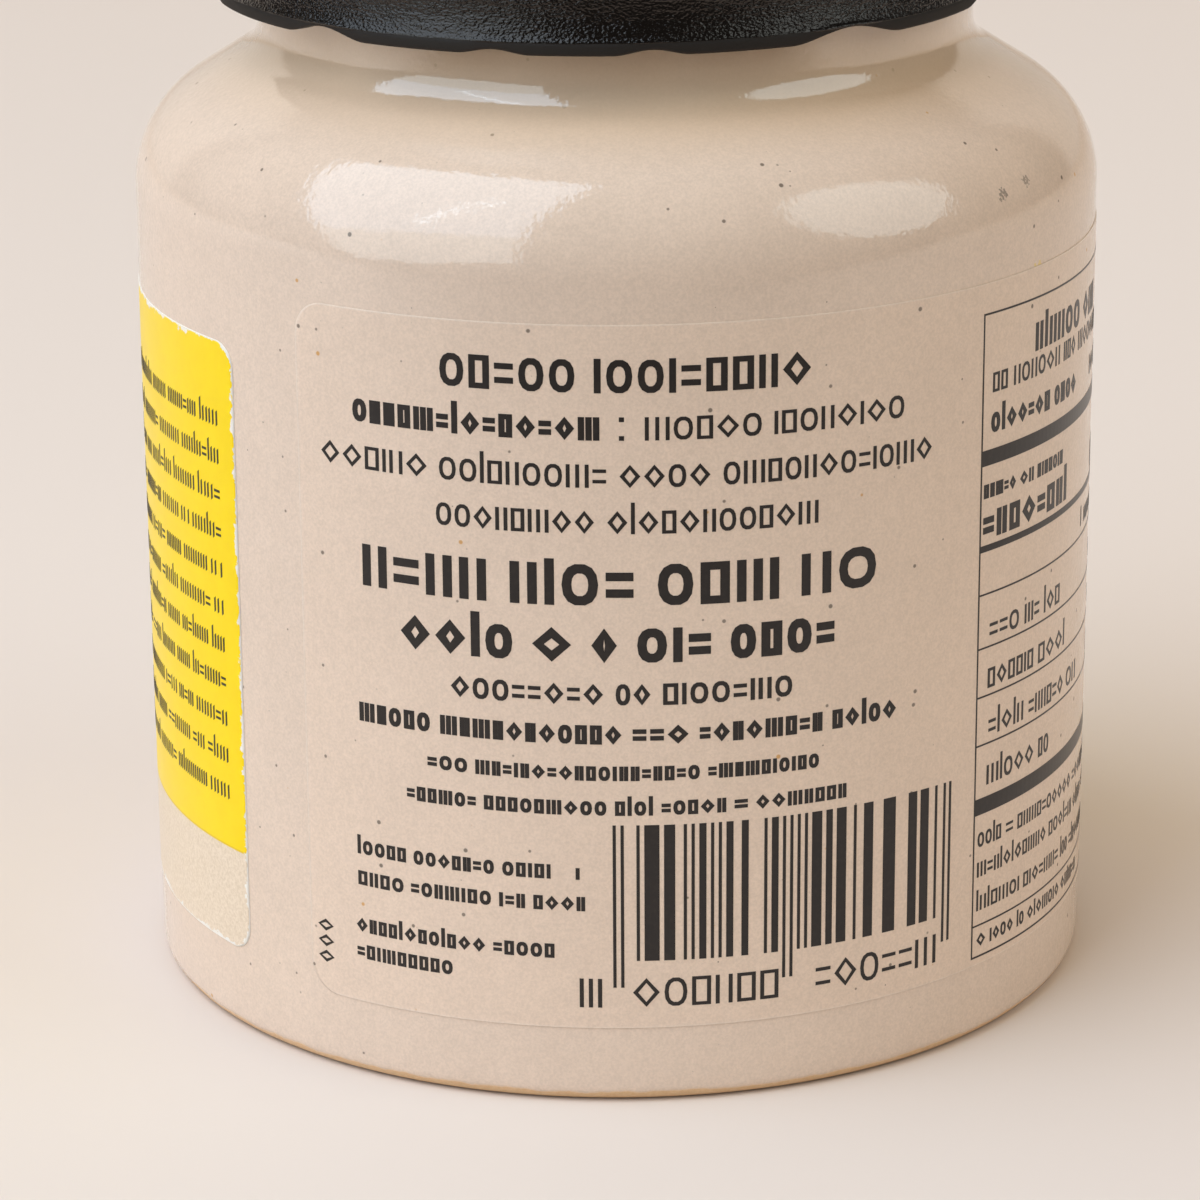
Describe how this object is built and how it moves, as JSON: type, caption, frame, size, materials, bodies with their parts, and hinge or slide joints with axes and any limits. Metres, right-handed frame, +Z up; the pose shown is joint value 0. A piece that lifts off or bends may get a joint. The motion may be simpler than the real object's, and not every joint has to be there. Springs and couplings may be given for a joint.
{
  "type": "stoneware mustard jar",
  "caption": "Small round-shouldered glazed stoneware jar with a dark wax-look cap, a yellow paper label and a clear printed label.",
  "frame": {"origin": "centre of the foot, on the surface the jar stands on", "axes": "+Z up along the jar's axis; -Y towards the side with the clear information label; +X to the right of it"},
  "size_m": [0.0652, 0.0652, 0.0809],
  "materials": {
    "glazed_stoneware": "clear satin glaze over cream stoneware with fine dark specks",
    "cap_plastic": "black, moulded like set wax, with a leathery grain and a smooth lower lip",
    "clear_film": "clear satin film, printed in dark ink",
    "label_paper": "printed satin paper, yellow with a beige grained strip"
  },
  "bodies": {
    "root": {"jar": "glazed_stoneware", "cap": "cap_plastic", "clear_label": "clear_film", "paper_label": "label_paper"}
  },
  "joints": []
}
